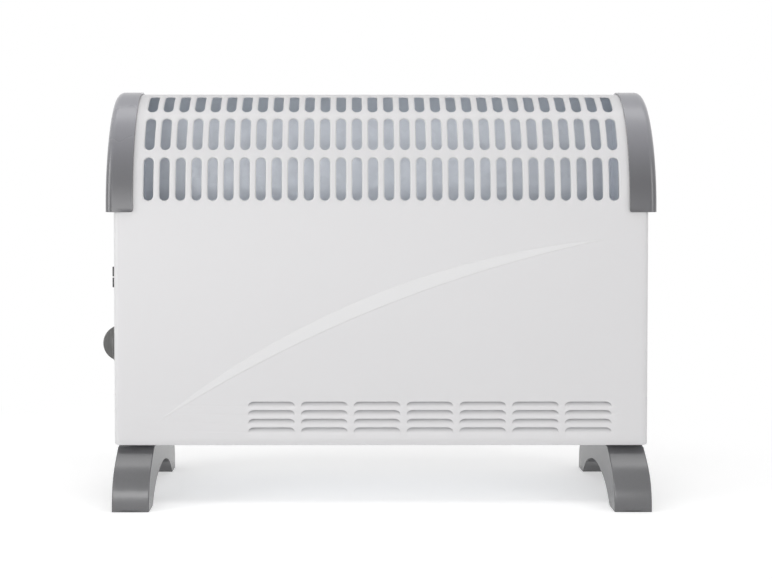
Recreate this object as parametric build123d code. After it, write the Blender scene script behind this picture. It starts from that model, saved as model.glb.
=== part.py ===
from build123d import *
import math
import os

# Convector heater. Millimetres, +Z up, the front faces -Y, the floor is Z = 0.
# The casing's middle is X = 0, Y = 0, and every piece is moved by export_shift at the end.

# Casing
casing_width = 511.2
casing_depth = 118.0
ground_clearance = 57.0
springing_height = 285.0
crown_rise = 110.6
sheet = 1.0
corner_radius = 7.0
lip_width = 12.0
fit_gap = 0.1

# Warm air slots in the curved hood, each row's ends given above the springing line
slot_width = 9.2
slot_pitch = 15.3
slot_columns = 30
slot_row_rises = [(6.0, 47.0), (54.5, 85.3), (91.9, 108.6)]
rear_slot_rows = 2

# Cold air louvres at the foot of the front and rear panels
louvre_width = 44.7
louvre_pitch = 50.4
louvre_groups = 7
louvre_first_x = -104.7
louvre_lips = [74.4, 82.7, 91.0, 99.1]
louvre_height = 5.5
louvre_depth = 4.0

# Crescent pressed into the front panel, given by its tips and one point on each edge
crescent_relief = 0.35
crescent_left_tip = (-212.4, 80.2)
crescent_upper = (-22.3, 194.9)
crescent_lower = (-0.6, 189.5)
crescent_right_tip = (214.1, 254.3)

# Base plate
inlet_width = 6.0
inlet_length = 36.0
inlet_pitch = 15.0
inlet_columns = 22

# End caps with hand grips
cap_inner_x = 236.2
cap_outer_x = 263.2
cap_drop = 5.0
cap_proud = 2.0
cap_wall = 2.5
cap_top_draft = 2.4
cap_corner = 8.0
cap_lower_corner = 2.5
grip_length = 90.0
grip_rise = 20.0
grip_height = 28.0
grip_inner_x = 245.0
grip_corner = 6.0

# Feet
foot_x = 235.4
foot_width = 35.0
toe_reach = 83.0
toe_length = 21.0
shoulder_reach = 52.0
shoulder_height = 53.5
neck_reach = 49.0
arch_height = 31.0
arch_knee_z = 18.0
arch_knee_share = 0.71
arch_knee_roundness = 0.97
arch_crown_roundness = 1.29
foot_wall = 3.0
foot_top = 4.0
foot_edge = 1.2
foot_screw_y = 22.0

# Control panel on the left side
panel_raise = 5.0
panel_wall = 2.5
panel_length = 42.0
panel_bottom = 106.0
panel_top = 252.0
panel_corner = 8.0
control_opening_length = 34.0
control_opening_bottom = 122.0
control_opening_top = 238.0

# Twin rocker switch
switch_z = 213.6
rocker_pitch = 10.8
rocker_thickness = 9.6
rocker_radius = 10.6
rocker_clearance = 0.3
rocker_crest = 5.6
rocker_dip = 4.8
rocker_tilt = 10.0
rocker_pivot_depth = 1.2
rocker_pin_radius = 1.0
pin_clearance = 0.05
switch_wall = 1.6
switch_depth = 19.0
bezel_margin = 1.8
bezel_thickness = 1.4
terminal_length = 7.0
terminal_width = 6.3
terminal_thickness = 0.8

# Thermostat
thermostat_z = 146.7
knob_gap = 0.8
skirt_radius = 19.5
skirt_thickness = 3.6
fin_radius = 18.0
fin_reach = 21.4
fin_thickness = 7.0
spindle_radius = 3.0
spindle_flat = 1.0
spindle_depth = 14.0
spindle_clearance = 0.05
thermostat_width = 28.0
thermostat_height = 32.0
thermostat_depth = 14.0
bush_radius = 5.0
thermostat_screw_spacing = 22.0

# Heating chamber
left_baffle_x = -214.0
right_baffle_x = 240.0
baffle_reach = 54.0
baffle_flange = 10.0
reflector_y = 30.0
reflector_rise = 89.0
reflector_flange = 12.0
reflector_end_reach = 241.0
reflector_return = 27.0
reflector_tab_reach = 14.0
reflector_tab_height = 24.0
reflector_tab_drop = 40.0
element_y = -10.0
element_z = 150.0
element_end_gap = 26.5
rod_radius = 4.0
rod_spacing = 20.0
rod_clearance = 0.05
fin_blade = 2.0
fin_span = 30.0
fin_angle = 40.0
core_width = 13.0
core_height = 36.0
bush_flange_radius = 9.0
bush_flange = 2.0
bush_shank_radius = 6.5
rod_overhang = 3.0
rod_pin_radius = 1.5
rod_pin_length = 6.0

# Thermal cut-out
cutout_z = 218.0
cutout_radius = 8.0
cutout_height = 7.0
cutout_ear_spacing = 25.0

# Supply side
terminal_block_z = 92.0
terminal_block_length = 34.0
terminal_block_height = 14.0
terminal_block_depth = 15.0
cable_x = -233.0
cable_z = 84.0
cable_radius = 3.6
gland_shank_radius = 6.0
gland_flange_radius = 9.0
gland_flange = 3.5
gland_nut_thickness = 4.0

# Fasteners
screw_radius = 2.0
screw_head_radius = 3.6
screw_head = 2.2
screw_length = 9.0
screw_recess = 1.0
strip_width = 20.0
lip_screw_pitch = 150.0
wire_radius = 1.3

half_width = casing_width / 2
half_depth = casing_depth / 2
crown_top = springing_height + crown_rise
slot_rows = [(springing_height + low, springing_height + high) for low, high in slot_row_rises]
cap_bottom = springing_height - cap_drop
grip_bottom = cap_bottom + grip_rise
baffle_top = springing_height - sheet
reflector_top = springing_height + reflector_rise
arch_reach = toe_reach - toe_length
arch_knee_y = arch_knee_share * arch_reach
element_length = right_baffle_x - left_baffle_x - sheet - 2 * element_end_gap
knob_tip_x = -(half_width + fin_reach)
panel_face_x = -(half_width + panel_raise)
base_z = ground_clearance + sheet
base_top = base_z + sheet
export_shift = -(knob_tip_x + cap_outer_x) / 2


def block(low_x, high_x, low_y, high_y, low_z, high_z):
    """A box given by its six faces."""
    size = (high_x - low_x, high_y - low_y, high_z - low_z)
    centre = ((low_x + high_x) / 2, (low_y + high_y) / 2, (low_z + high_z) / 2)
    return Pos(*centre) * Box(*size)


def rod_x(start_x, end_x, y, z, radius):
    """A round bar along X."""
    middle = Pos((start_x + end_x) / 2, y, z)
    return middle * Rot(0, 90, 0) * Cylinder(radius, abs(end_x - start_x))


def rod_y(start_y, end_y, x, z, radius):
    """A round bar along Y."""
    middle = Pos(x, (start_y + end_y) / 2, z)
    return middle * Rot(90, 0, 0) * Cylinder(radius, abs(end_y - start_y))


def rod_z(start_z, end_z, x, y, radius):
    """A round bar along Z."""
    return Pos(x, y, (start_z + end_z) / 2) * Cylinder(radius, abs(end_z - start_z))


def hood_profile(inset, bottom):
    """The casing's section across its depth: straight walls under half an ellipse."""
    reach = half_depth - inset
    rise = crown_rise - inset
    arc = EllipticalCenterArc((0, springing_height), reach, rise, start_angle=0, arc_size=180)
    sides = Polyline((-reach, springing_height), (-reach, bottom), (reach, bottom), (reach, springing_height))
    return Plane.YZ * make_face(arc + sides)


def hood_solid(inset, bottom, half_length):
    """A solid block with the casing's section, centred on X."""
    return extrude(hood_profile(inset, bottom), half_length, both=True)


def rounded_hood(inset, bottom, half_length, radius):
    """The hood block with its end outlines rounded, as the folded sheet is."""
    body = hood_solid(inset, bottom, half_length)
    ends = body.faces().sort_by(Axis.X)
    outline = ends[0].edges() + ends[-1].edges()
    rounded = [edge for edge in outline if edge.center().Z > bottom + 1]
    return fillet(rounded, radius)


def hood_slope(z):
    """How much of a length along the hood is seen from the front, at a height."""
    rise = min(max(z - springing_height, 0) / crown_rise, 0.98)
    upright = crown_rise * math.sqrt(1 - rise * rise)
    return upright / math.hypot(upright, half_depth * rise)


def slot_outline(low, high):
    """A slot seen from the front: its round ends flatten where the hood leans back."""
    reach = slot_width / 2
    low_rise = reach * hood_slope(low)
    high_rise = reach * hood_slope(high)
    top = EllipticalCenterArc((0, high - high_rise), reach, high_rise, start_angle=0, arc_size=180)
    foot = EllipticalCenterArc((0, low + low_rise), reach, low_rise, start_angle=180, arc_size=180)
    sides = [Line((side * reach, low + low_rise), (side * reach, high - high_rise)) for side in (-1, 1)]
    return Plane.XZ * make_face([top, foot, *sides])


def slot_cutters(rows):
    """Upright round-ended slots, cut straight through the front half of the hood."""
    cutters = []
    first = -(slot_columns - 1) / 2 * slot_pitch
    for low, high in rows:
        cutter = extrude(slot_outline(low, high), half_depth + cap_proud)
        for column in range(slot_columns):
            cutters.append(Pos(first + column * slot_pitch, 0, 0) * cutter)
    return cutters


def louvre_wedge(lip, width, height, depth, start):
    """A wedge under a louvre's lip: full depth at the lip, nothing at its foot."""
    section = Polyline((start, lip - height), (start, lip), (start + depth, lip), close=True)
    face = Plane.YZ * make_face(section)
    return extrude(face, width / 2, both=True)


def louvre_places():
    """The centre of each louvre group along the panel."""
    return [louvre_first_x + group * louvre_pitch for group in range(louvre_groups)]


def front_half_shell():
    """The front half of the casing, before its slots and louvres are cut."""
    outer = rounded_hood(0, ground_clearance, half_width, corner_radius)
    inner = rounded_hood(sheet, base_z, half_width - sheet, corner_radius - sheet)
    mouth_x = half_width - sheet - lip_width
    mouth_y = half_depth - sheet - lip_width
    mouth = block(-mouth_x, mouth_x, -mouth_y, mouth_y, 0, base_z + sheet)
    shell = outer - inner - mouth
    front_side = block(-half_width, half_width, -half_depth, 0, 0, crown_top)
    return shell & front_side


def grip_openings():
    """The holes in both ends of the casing that the hand grips reach through."""
    reach = grip_length / 2 + cap_wall + fit_gap
    low = grip_bottom - cap_wall - fit_gap
    high = grip_bottom + grip_height + cap_wall + fit_gap
    inside = grip_inner_x - cap_wall
    left = block(-half_width - sheet, -inside, -reach, reach, low, high)
    right = block(inside, half_width + sheet, -reach, reach, low, high)
    return left + right


def control_opening():
    """The hole in the casing's left end behind the control panel."""
    reach = control_opening_length / 2
    outside = -half_width - sheet
    inside = -half_width + corner_radius
    return block(outside, inside, -reach, reach, control_opening_bottom, control_opening_top)


def with_louvres(panel):
    """Presses the louvres in: a pocket that closes the sheet behind, then the scoop."""
    pockets = []
    scoops = []
    for x in louvre_places():
        for lip in louvre_lips:
            pocket = louvre_wedge(lip, louvre_width + 2 * sheet, louvre_height + sheet, louvre_depth + sheet,
                                  sheet - half_depth - fit_gap)
            scoop = louvre_wedge(lip, louvre_width, louvre_height, louvre_depth + sheet, -half_depth)
            pockets.append(Pos(x, 0, 0) * pocket)
            scoops.append(Pos(x, 0, 0) * scoop)
    return panel + pockets - scoops


def seam_screw_holes():
    """Holes on the end seams for the two control panel screws."""
    holes = [rod_x(-half_width - sheet, -half_width + 3 * sheet, 0, z, screw_radius) for z in panel_screw_heights()]
    return holes


def lip_screw_places():
    """Where the rear panel's lower lip is screwed to the base plate."""
    row_y = half_depth - sheet - lip_width / 2
    return [(x, row_y) for x in (-lip_screw_pitch, 0, lip_screw_pitch)]


def lip_screw_holes():
    """Holes for the lip screws."""
    return [rod_z(0, base_top + sheet, x, y, screw_radius) for x, y in lip_screw_places()]


def cap_screw_places():
    """Heights of the two screws that hold each cap to the end of the casing."""
    return [cap_bottom + 8, grip_bottom + grip_height + 22]


def cap_screw_holes():
    """Holes in both ends for the cap screws."""
    reach = half_width + sheet
    return [rod_x(-reach, reach, 0, z, screw_radius) for z in cap_screw_places()]


def half_panel_cuts():
    """Every cut that the front and the rear panel share."""
    return [grip_openings(), *cap_screw_holes()]


def front_panel():
    """Stamped front: folded ends, curved hood, slots, louvres and a shallow crescent."""
    shell = with_louvres(front_half_shell())
    shell = shell - slot_cutters(slot_rows) - half_panel_cuts() - control_opening() - seam_screw_holes()
    upper = ThreePointArc(crescent_left_tip, crescent_upper, crescent_right_tip)
    lower = ThreePointArc(crescent_left_tip, crescent_lower, crescent_right_tip)
    outline = Plane.XZ * make_face(upper + lower)
    crescent = Pos(0, sheet / 2 - half_depth, 0) * extrude(outline, sheet / 2 + crescent_relief)
    return shell + crescent


def rear_panel():
    """Stamped rear: the same folded shape, with fewer slots and the cable inlet."""
    shell = with_louvres(front_half_shell())
    shell = shell - slot_cutters(slot_rows[:rear_slot_rows]) - half_panel_cuts()
    turned = Rot(0, 0, 180) * shell
    inlet = rod_y(0, half_depth + sheet, cable_x, cable_z, gland_shank_radius + fit_gap)
    return turned - control_opening() - seam_screw_holes() - lip_screw_holes() - inlet


def base_plate():
    """Flat bottom tray with the cold air inlets, resting on the panels' lips."""
    reach_x = half_width - sheet - fit_gap
    reach_y = half_depth - sheet - fit_gap
    plate = block(-reach_x, reach_x, -reach_y, reach_y, base_z, base_top)
    plate = fillet(plate.edges().filter_by(Axis.Z), corner_radius - sheet)
    first = -(inlet_columns - 1) / 2 * inlet_pitch
    inlet = Pos(0, 0, base_z) * Plane.XY * SlotOverall(inlet_length, inlet_width, rotation=90)
    cutters = []
    for column in range(inlet_columns):
        for y in (-half_depth / 3, half_depth / 2.4):
            cutters.append(Pos(first + column * inlet_pitch, y, -sheet) * extrude(inlet, 3 * sheet))
    return plate - cutters - lip_screw_holes() - foot_screw_holes()


def side_seam_strips():
    """Strips welded inside the end seams, above and below the control opening."""
    outer = half_width - sheet - fit_gap
    inner = outer - sheet
    reach = strip_width / 2
    top = cap_bottom + 14
    lower = block(-outer, -inner, -reach, reach, base_top + fit_gap, control_opening_bottom - 2)
    upper = block(-outer, -inner, -reach, reach, control_opening_top + 2, top)
    right = block(inner, outer, -reach, reach, base_top + fit_gap, top)
    strips = lower + upper + right
    return strips - seam_screw_holes() - cap_screw_holes()


def top_seam_strip():
    """Curved strip welded under the crown, where the two panels meet."""
    reach = half_width - corner_radius
    outer = hood_solid(sheet + fit_gap, springing_height - sheet, reach)
    inner = hood_solid(2 * sheet + fit_gap, springing_height - 2 * sheet, reach + sheet)
    band = block(-reach, reach, -strip_width / 2, strip_width / 2, springing_height, crown_top)
    return (outer - inner) & band


def cap_outline():
    """The right cap seen from the front: slightly drawn in towards the top."""
    top = crown_top + cap_proud
    side = ThreePointArc((cap_outer_x, cap_bottom), (cap_outer_x - cap_top_draft / 4, (cap_bottom + top) / 2),
                         (cap_outer_x - cap_top_draft, top))
    rest = Polyline((cap_outer_x - cap_top_draft, top), (cap_inner_x, top), (cap_inner_x, cap_bottom),
                    (cap_outer_x, cap_bottom))
    return Plane.XZ * make_face(side + rest)


def grip_tub(margin):
    """The block of a hand grip, grown by a margin on every side but the mouth."""
    reach = grip_length / 2 + margin
    low = grip_bottom - margin
    high = grip_bottom + grip_height + margin
    tub = block(grip_inner_x - margin, cap_outer_x + 1, -reach, reach, low, high)
    return fillet(tub.edges().filter_by(Axis.X), grip_corner + margin)


def end_cap():
    """Moulded right cap: a band over the hood's end, a side wall and a hand grip."""
    band = hood_solid(-cap_proud, cap_bottom, cap_outer_x)
    slab = extrude(cap_outline(), half_depth + 2 * cap_proud, both=True)
    body = band & slab
    side_face = body.faces().filter_by(lambda face: face.center().X > cap_outer_x - cap_top_draft)
    rim = [edge for edge in side_face.sort_by(Axis.X)[-1].edges() if edge.center().Z > cap_bottom + 1]
    body = fillet(rim, cap_corner)
    inner_edges = [edge for edge in body.edges().filter_by(Axis.Y) if abs(edge.center().X - cap_inner_x) < 1]
    body = fillet([edge for edge in inner_edges if edge.center().Z < cap_bottom + 1], cap_lower_corner)
    shell_inside = hood_solid(-fit_gap, 0, half_width + fit_gap)
    hollow = hood_solid(cap_wall - cap_proud, cap_bottom + cap_wall, cap_outer_x - cap_top_draft - cap_wall)
    hollow = hollow & block(0, cap_outer_x, -half_depth, half_depth, 0, crown_top - 1)
    grip = grip_tub(cap_wall) & block(0, cap_outer_x - cap_top_draft, -half_depth, half_depth, 0, crown_top)
    shell = body - shell_inside - hollow
    bosses = [rod_x(half_width + fit_gap, cap_outer_x - cap_wall, 0, z, 2 * screw_radius) for z in cap_screw_places()]
    shell = shell + grip + bosses - grip_tub(0)
    holes = [rod_x(half_width, half_width + cap_wall + 3, 0, z, screw_radius) for z in cap_screw_places()]
    return shell - holes


def foot():
    """Moulded right foot: two swept toes, an arch between them and a hollow underside."""
    knee_radius = arch_knee_roundness * arch_reach
    crown_radius = arch_crown_roundness * arch_reach
    front_curve = Spline((-shoulder_reach, shoulder_height), (-toe_reach + 5.5, 28.5), (-toe_reach, 0),
                         tangents=[(-1, -0.75), (0, -1)])
    arch = FilletPolyline((-arch_reach, 0), (-arch_knee_y, arch_knee_z), (0, arch_height),
                          (arch_knee_y, arch_knee_z), (arch_reach, 0),
                          radius=(knee_radius, crown_radius, knee_radius))
    rear_curve = Spline((shoulder_reach, shoulder_height), (toe_reach - 5.5, 28.5), (toe_reach, 0),
                        tangents=[(1, -0.75), (0, -1)])
    top = Polyline((-shoulder_reach, shoulder_height), (shoulder_reach, shoulder_height))
    soles = [Line((-toe_reach, 0), (-arch_reach, 0)), Line((arch_reach, 0), (toe_reach, 0))]
    profile = Plane.YZ * make_face([front_curve, rear_curve, top, *arch.edges(), *soles])
    body = extrude(profile, foot_width / 2, both=True)
    sides = [edge for face in (body.faces().sort_by(Axis.X)[0], body.faces().sort_by(Axis.X)[-1])
             for edge in face.edges()]
    swept = [edge for edge in sides if 1 < edge.center().Z < shoulder_height - 1 and abs(edge.center().Y) > arch_reach]
    body = fillet(swept, foot_edge)
    neck_x = foot_width / 2 - 0.8
    neck = block(-neck_x, neck_x, -neck_reach, neck_reach, shoulder_height - 1, ground_clearance)
    pocket_x = foot_width / 2 - foot_wall
    pocket = block(-pocket_x, pocket_x, -arch_knee_y, arch_knee_y, 0, ground_clearance - foot_top)
    spigot_y = half_depth - sheet - lip_width - 1
    spigot_out = half_width - sheet - lip_width - 1 - foot_x
    spigot = block(-neck_x, spigot_out, -spigot_y, spigot_y, ground_clearance - 1, base_z)
    whole = Pos(foot_x, 0, 0) * (body + neck - pocket + spigot)
    return whole - foot_screw_holes()


def foot_screw_places():
    """The two screws in each foot."""
    return [(side * foot_x, y) for side in (-1, 1) for y in (-foot_screw_y, foot_screw_y)]


def foot_screw_holes():
    """Holes for the foot screws."""
    return [rod_z(ground_clearance - foot_top - 1, base_top + 1, x, y, screw_radius) for x, y in foot_screw_places()]


def screw(length):
    """A pan head screw pointing up, its head's seat at the origin."""
    head = Pos(0, 0, -screw_head / 2) * Cylinder(screw_head_radius, screw_head)
    head = fillet(head.edges().sort_by(Axis.Z)[:1], screw_head / 2)
    shank = Pos(0, 0, length / 2) * Cylinder(screw_radius - fit_gap / 2, length)
    arm = Box(screw_head_radius, 0.8, 2 * screw_recess)
    cross = arm + Rot(0, 0, 90) * arm
    return head + shank - Pos(0, 0, -screw_head) * cross


def lip_screws():
    """Screws up through the panels' lips into the base plate."""
    return group([Pos(x, y, ground_clearance) * screw(screw_length) for x, y in lip_screw_places()])


def foot_screws():
    """Screws up through the feet into the base plate."""
    seat = ground_clearance - foot_top
    return group([Pos(x, y, seat) * screw(screw_length) for x, y in foot_screw_places()])


def cap_screws():
    """Screws from inside the casing out into the caps' bosses."""
    right_seat = half_width - 2 * sheet - fit_gap
    screws = []
    for z in cap_screw_places():
        seat = right_seat if z < cap_bottom + 14 else right_seat + sheet + fit_gap
        screws.append(Pos(seat, 0, z) * Rot(0, 90, 0) * screw(screw_length / 2))
        screws.append(Pos(-seat, 0, z) * Rot(0, -90, 0) * screw(screw_length / 2))
    return group(screws)


def group(solids):
    """Separate solids kept together as one node."""
    return Compound(children=[solid for piece in solids for solid in piece.solids()])


def panel_screw_heights():
    """Heights of the two control panel screws."""
    return [(panel_bottom + control_opening_bottom) / 2, (panel_top + control_opening_top) / 2]


def control_panel():
    """Raised white moulding over the control opening, dished behind."""
    length = panel_length / 2
    plate = block(panel_face_x, -half_width - fit_gap, -length, length, panel_bottom, panel_top)
    plate = fillet(plate.edges().filter_by(Axis.X), panel_corner)
    plate = fillet(plate.faces().sort_by(Axis.X)[0].edges(), panel_raise / 2.5)
    inner_y = control_opening_length / 2 - fit_gap
    back = block(panel_face_x + panel_wall, -half_width + 1, -inner_y, inner_y,
                 control_opening_bottom + fit_gap, control_opening_top - fit_gap)
    window_y = rocker_window_reach() + switch_wall + fit_gap
    window_z = rocker_pitch + switch_wall + fit_gap
    window = block(panel_face_x - 1, -half_width, -window_y, window_y, switch_z - window_z, switch_z + window_z)
    spindle_hole = rod_x(panel_face_x - 1, -half_width, 0, thermostat_z, bush_radius + fit_gap)
    screws = [rod_x(panel_face_x - 1, -half_width + 1, 0, z, screw_radius) for z in panel_screw_heights()]
    heads = [rod_x(panel_face_x - 1, panel_face_x + screw_head, 0, z, screw_head_radius + fit_gap)
             for z in panel_screw_heights()]
    fixing = [rod_x(panel_face_x - 1, -half_width, y, thermostat_z, screw_radius) for y in thermostat_screw_places()]
    sinks = [rod_x(panel_face_x - 1, panel_face_x + 1.2, y, thermostat_z, screw_head_radius + fit_gap)
             for y in thermostat_screw_places()]
    return plate - back - window - spindle_hole - screws - heads - fixing - sinks


def control_panel_screws():
    """Two screws sunk in the control panel, holding it to the end seam."""
    seat = panel_face_x + screw_head
    return group([Pos(seat, 0, z) * Rot(0, 90, 0) * screw(screw_length) for z in panel_screw_heights()])


def rocker_pivot_x():
    """The rockers' pivot line, inside the control panel's thickness."""
    return panel_face_x + rocker_pivot_depth


def rocker_window_reach():
    """Half the switch window's length: the rockers' radius and their clearance."""
    return rocker_radius + rocker_clearance


def rocker_centres():
    """Heights of the upper and the lower rocker."""
    return [switch_z + rocker_pitch / 2, switch_z - rocker_pitch / 2]


def rocker(z):
    """One rocker, resting with its front end raised, bored for the pivot pin."""
    disc = Pos(0, 0, 0) * Cylinder(rocker_radius, rocker_thickness)
    crest_y = math.sqrt(rocker_radius ** 2 - rocker_crest ** 2)
    crown = Polyline((-rocker_crest, -crest_y - 1), (-rocker_dip, 0), (-rocker_crest, crest_y + 1),
                     (rocker_crest / 2, crest_y + 1), (rocker_crest / 2, -crest_y - 1), close=True)
    keep = extrude(make_face(crown), rocker_thickness / 2, both=True)
    body = disc & keep
    body = fillet(body.edges().filter_by(Axis.Z).sort_by(Axis.X)[:2], 0.6)
    body = body - Cylinder(rocker_pin_radius + pin_clearance, rocker_thickness + 1)
    return Pos(rocker_pivot_x(), 0, z) * Rot(0, 0, -rocker_tilt) * body


def switch_housing():
    """Housing of the twin switch: a bezel, two wells and the body behind."""
    reach_y = rocker_window_reach() + switch_wall
    reach_z = rocker_pitch + switch_wall
    body = block(panel_face_x - fit_gap, panel_face_x + switch_depth, -reach_y, reach_y,
                 switch_z - reach_z, switch_z + reach_z)
    rim_y = reach_y + bezel_margin
    rim_z = reach_z + bezel_margin
    bezel = block(panel_face_x - bezel_thickness, panel_face_x, -rim_y, rim_y, switch_z - rim_z, switch_z + rim_z)
    bezel = fillet(bezel.edges().filter_by(Axis.X), 2.0)
    bezel = fillet(bezel.faces().sort_by(Axis.X)[0].edges(), bezel_thickness / 2)
    pivot = rocker_pivot_x()
    whole = body + bezel
    for z in rocker_centres():
        half = rocker_thickness / 2 + rocker_clearance
        radius = rocker_window_reach()
        well = Pos(pivot, 0, z) * Cylinder(radius, 2 * half)
        mouth = block(panel_face_x - 2 * bezel_thickness, pivot, -radius, radius, z - half, z + half)
        whole = whole - well - mouth
    pin_reach = reach_z - switch_wall / 2
    return whole - rod_z(switch_z - pin_reach, switch_z + pin_reach, pivot, 0, rocker_pin_radius)


def rocker_pin():
    """Steel pin through both rockers, held in the housing."""
    reach = rocker_pitch + switch_wall / 2
    return rod_z(switch_z - reach, switch_z + reach, rocker_pivot_x(), 0, rocker_pin_radius)


def switch_terminals():
    """Four spade terminals on the back of the switch."""
    back = panel_face_x + switch_depth
    tabs = []
    for z in rocker_centres():
        for y in (-6, 6):
            tabs.append(block(back, back + terminal_length, y - terminal_thickness / 2, y + terminal_thickness / 2,
                              z - terminal_width / 2, z + terminal_width / 2))
    return group(tabs)


def thermostat_knob():
    """Round skirt with a half-moon grip across it, bored for the flatted spindle."""
    base = panel_face_x - knob_gap
    face = base - skirt_thickness
    skirt = rod_x(face, base, 0, thermostat_z, skirt_radius)
    skirt = fillet(skirt.edges().sort_by(Axis.X)[:1], skirt_thickness / 2)
    moon_x = knob_tip_x + fin_radius
    moon = rod_y(-fin_thickness / 2, fin_thickness / 2, moon_x, thermostat_z, fin_radius)
    fin = moon & block(knob_tip_x, base - skirt_thickness / 2, -fin_thickness, fin_thickness,
                       thermostat_z - fin_radius, thermostat_z + fin_radius)
    rims = [edge for edge in fin.edges() if edge.geom_type == GeomType.CIRCLE]
    fin = fillet(rims, fin_thickness / 5)
    bore = spindle_shape(spindle_clearance) & block(knob_tip_x + 5, 0, -10, 10, thermostat_z - 10, thermostat_z + 10)
    return skirt + fin - bore


def spindle_shape(clearance):
    """The spindle's round bar with a flat on the knob's length, grown by a clearance."""
    tip = knob_tip_x + 6 - clearance
    end = panel_face_x + spindle_depth
    bar = rod_x(tip, end, 0, thermostat_z, spindle_radius + clearance)
    flat_z = thermostat_z + spindle_radius - spindle_flat + clearance
    flat = block(tip - 1, panel_face_x - knob_gap, -10, 10, flat_z, flat_z + 10)
    return bar - flat


def thermostat_spindle():
    """Spindle pressed in the knob and running in the thermostat's bush."""
    return spindle_shape(0)


def thermostat_screw_places():
    """Positions across the panel of the two thermostat screws."""
    return [-thermostat_screw_spacing / 2, thermostat_screw_spacing / 2]


def thermostat_body():
    """Thermostat: mounting plate, bush and ceramic block behind the panel."""
    seat = panel_face_x + panel_wall
    reach = thermostat_width / 2
    rise = thermostat_height / 2
    plate = block(seat, seat + 1.5, -reach, reach, thermostat_z - rise, thermostat_z + rise)
    core = block(seat + 1.5, seat + thermostat_depth, -reach + 6, reach - 6, thermostat_z - rise, thermostat_z + rise)
    bush = rod_x(panel_face_x - 0.3, seat + 1, 0, thermostat_z, bush_radius)
    spindle_end = panel_face_x + spindle_depth + 0.3
    bore = rod_x(panel_face_x - 1, spindle_end, 0, thermostat_z, spindle_radius + spindle_clearance)
    holes = [rod_x(seat - 1, seat + 3, y, thermostat_z, screw_radius - fit_gap / 2) for y in thermostat_screw_places()]
    return plate + core + bush - bore - holes


def thermostat_blade():
    """Bimetal strip bridging the back of the thermostat block."""
    back = panel_face_x + panel_wall + thermostat_depth
    low = thermostat_z - thermostat_height / 2
    high = thermostat_z + thermostat_height / 2
    rest = block(back, back + 2, -4, 4, low + 1, low + 6)
    strip = block(back + 2, back + 2.8, -4, 4, low + 1, high - 1)
    return rest + strip


def thermostat_terminals():
    """Two spade terminals at the thermostat's lower end."""
    seat = panel_face_x + panel_wall + 6
    low = thermostat_z - thermostat_height / 2
    tabs = [block(seat, seat + terminal_thickness, y - 2.5, y + 2.5, low - terminal_length, low) for y in (-4.5, 4.5)]
    return group(tabs)


def thermostat_screws():
    """Two flat screws under the knob, through the panel into the mounting plate."""
    seat = panel_face_x + 1.2
    screws = []
    for y in thermostat_screw_places():
        head = rod_x(panel_face_x + 0.2, seat, y, thermostat_z, screw_head_radius)
        shank = rod_x(seat, seat + 2.6, y, thermostat_z, screw_radius - fit_gap / 2)
        screws.append(head + shank)
    return group(screws)


def baffle(x, flange_side):
    """Upright end plate of the heating chamber, with a foot flange on the base plate."""
    plate = block(x, x + sheet, -baffle_reach, baffle_reach, base_top, baffle_top)
    ends = sorted((x + sheet / 2, x + sheet / 2 + flange_side * baffle_flange))
    flange = block(ends[0], ends[1], -baffle_reach, baffle_reach, base_top, base_top + sheet)
    whole = plate + flange
    for z in rod_heights():
        whole = whole - rod_x(x - 1, x + 2 * sheet, element_y, z, bush_shank_radius + fit_gap)
    return whole


def left_end_baffle():
    """Left plate, between the controls and the heating chamber."""
    plate = baffle(left_baffle_x, 1)
    holes = [rod_x(left_baffle_x - 1, left_baffle_x + 2, element_y, z, screw_radius) for z in cutout_screw_heights()]
    plate = plate - holes - rod_x(left_baffle_x - 1, left_baffle_x + 2, element_y, cutout_z, cutout_radius - 2)
    block_y = supply_screw_places()
    fixing = [rod_x(left_baffle_x - 1, left_baffle_x + 2, y, terminal_block_z, screw_radius) for y in block_y]
    return plate - fixing


def right_end_baffle():
    """Right plate of the heating chamber."""
    return baffle(right_baffle_x, 1)


def inner_reflector():
    """Bright sheet behind the element that shields the rear panel."""
    low_x = left_baffle_x + sheet
    sheet_up = block(low_x, right_baffle_x, reflector_y, reflector_y + sheet, base_top + sheet, reflector_top)
    flange = block(low_x + baffle_flange, right_baffle_x - baffle_flange, reflector_y - reflector_flange,
                   reflector_y + sheet, base_top, base_top + sheet)
    upper = block(-reflector_end_reach, reflector_end_reach, reflector_y, reflector_y + sheet,
                  baffle_top + fit_gap, reflector_top)
    returns = [block(x, x + sheet, reflector_y - reflector_return, reflector_y, baffle_top + fit_gap, reflector_top)
               for x in (-reflector_end_reach, reflector_end_reach - sheet)]
    tab_low = baffle_top - reflector_tab_drop
    tab_front = reflector_y - reflector_tab_reach
    tabs = [block(x, x + sheet, tab_front, reflector_y, tab_low, tab_low + reflector_tab_height)
            for x in (low_x, right_baffle_x - sheet)]
    return sheet_up + flange + upper + returns + tabs


def rod_heights():
    """Heights of the two heating rods."""
    return [element_z + rod_spacing / 2, element_z - rod_spacing / 2]


def element_middle():
    """The element's middle along the casing, centred between the baffles."""
    return (left_baffle_x + right_baffle_x + sheet) / 2


def element_fins():
    """Pressed aluminium body of the element: a core with four slanted blades."""
    half = element_length / 2
    core = Box(element_length, core_width, core_height)
    core = fillet(core.edges().filter_by(Axis.X), core_width / 3)
    blades = []
    for side in (-1, 1):
        for end in (-1, 1):
            blade = Pos(0, 0, fin_span / 2) * Box(element_length, fin_blade, fin_span)
            lean = Rot(-side * end * fin_angle, 0, 0) if end > 0 else Rot(180 + side * fin_angle, 0, 0)
            blades.append(Pos(0, side * (core_width / 2 - fin_blade), end * (core_height / 2 - 4)) * lean * blade)
    body = Pos(element_middle(), element_y, element_z) * (core + blades)
    start = element_middle() - half - 1
    for z in rod_heights():
        body = body - rod_x(start, start + element_length + 2, element_y, z, rod_radius + rod_clearance)
    return body


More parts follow.
